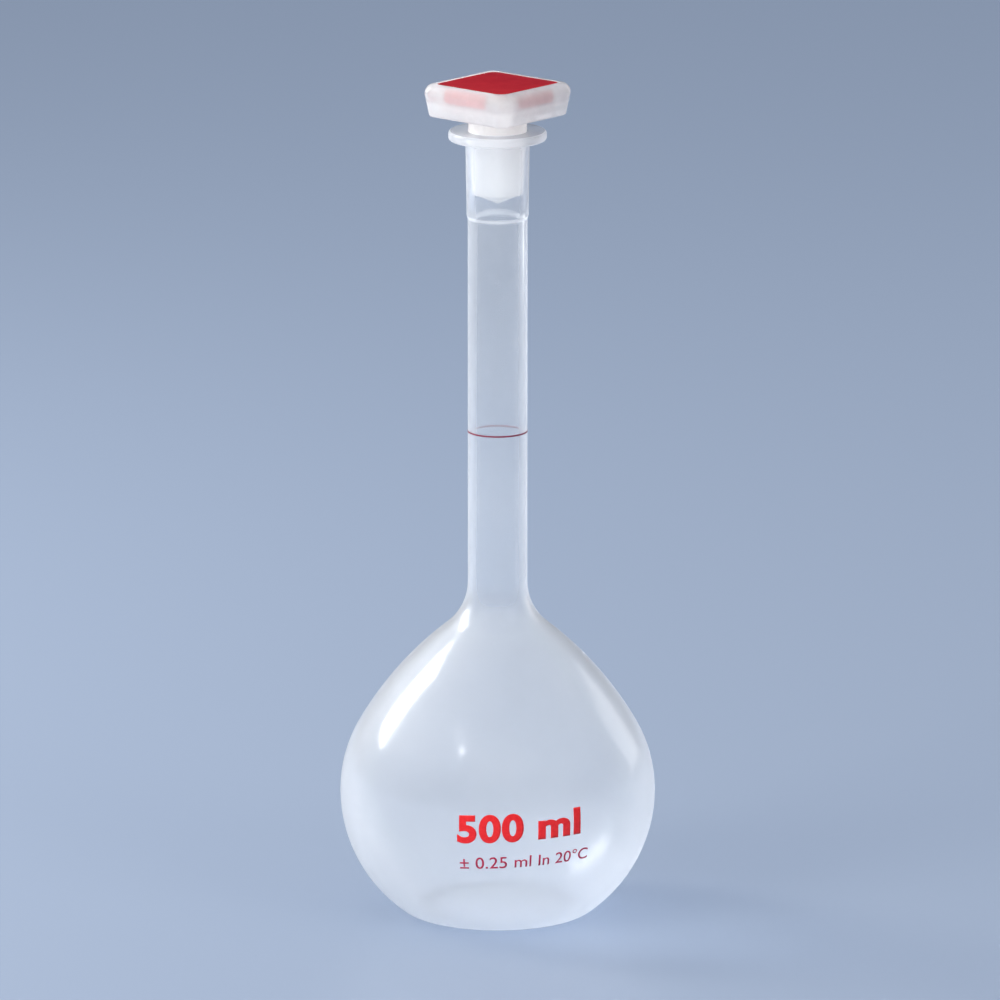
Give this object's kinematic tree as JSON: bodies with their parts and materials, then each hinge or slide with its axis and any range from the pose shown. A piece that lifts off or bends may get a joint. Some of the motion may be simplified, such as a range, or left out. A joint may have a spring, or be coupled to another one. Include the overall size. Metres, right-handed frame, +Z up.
{
  "type": "volumetric flask",
  "caption": "Hazy clear plastic flask: round bulb on a flat foot, long neck with a ring mark, flanged conical mouth, and a square-headed tapered stopper that lifts out.",
  "frame": {"origin": "centre of the foot, on the surface that the flask stands on", "axes": "+Z up along the neck, -Y towards the side that carries the print, +X to the right of it"},
  "size_m": [0.1014, 0.1014, 0.2718],
  "materials": {
    "clear_plastic": "clear, slightly hazy polymethylpentene with glossy moulded faces",
    "milky_plastic": "milky translucent polypropylene, satin moulded faces",
    "red_plastic": "opaque red polypropylene, glossy",
    "red_ink": "printed ink"
  },
  "bodies": {
    "flask": {"flask_body": "clear_plastic", "graduation_ring": "red_ink"},
    "stopper": {"stopper_body": "milky_plastic", "stopper_insert": "red_plastic"}
  },
  "joints": [
    {"name": "stopper_lift", "type": "slide", "parent": "flask", "child": "stopper", "axis": [0, 0, 1], "range_m": [0, 0.06]}
  ]
}
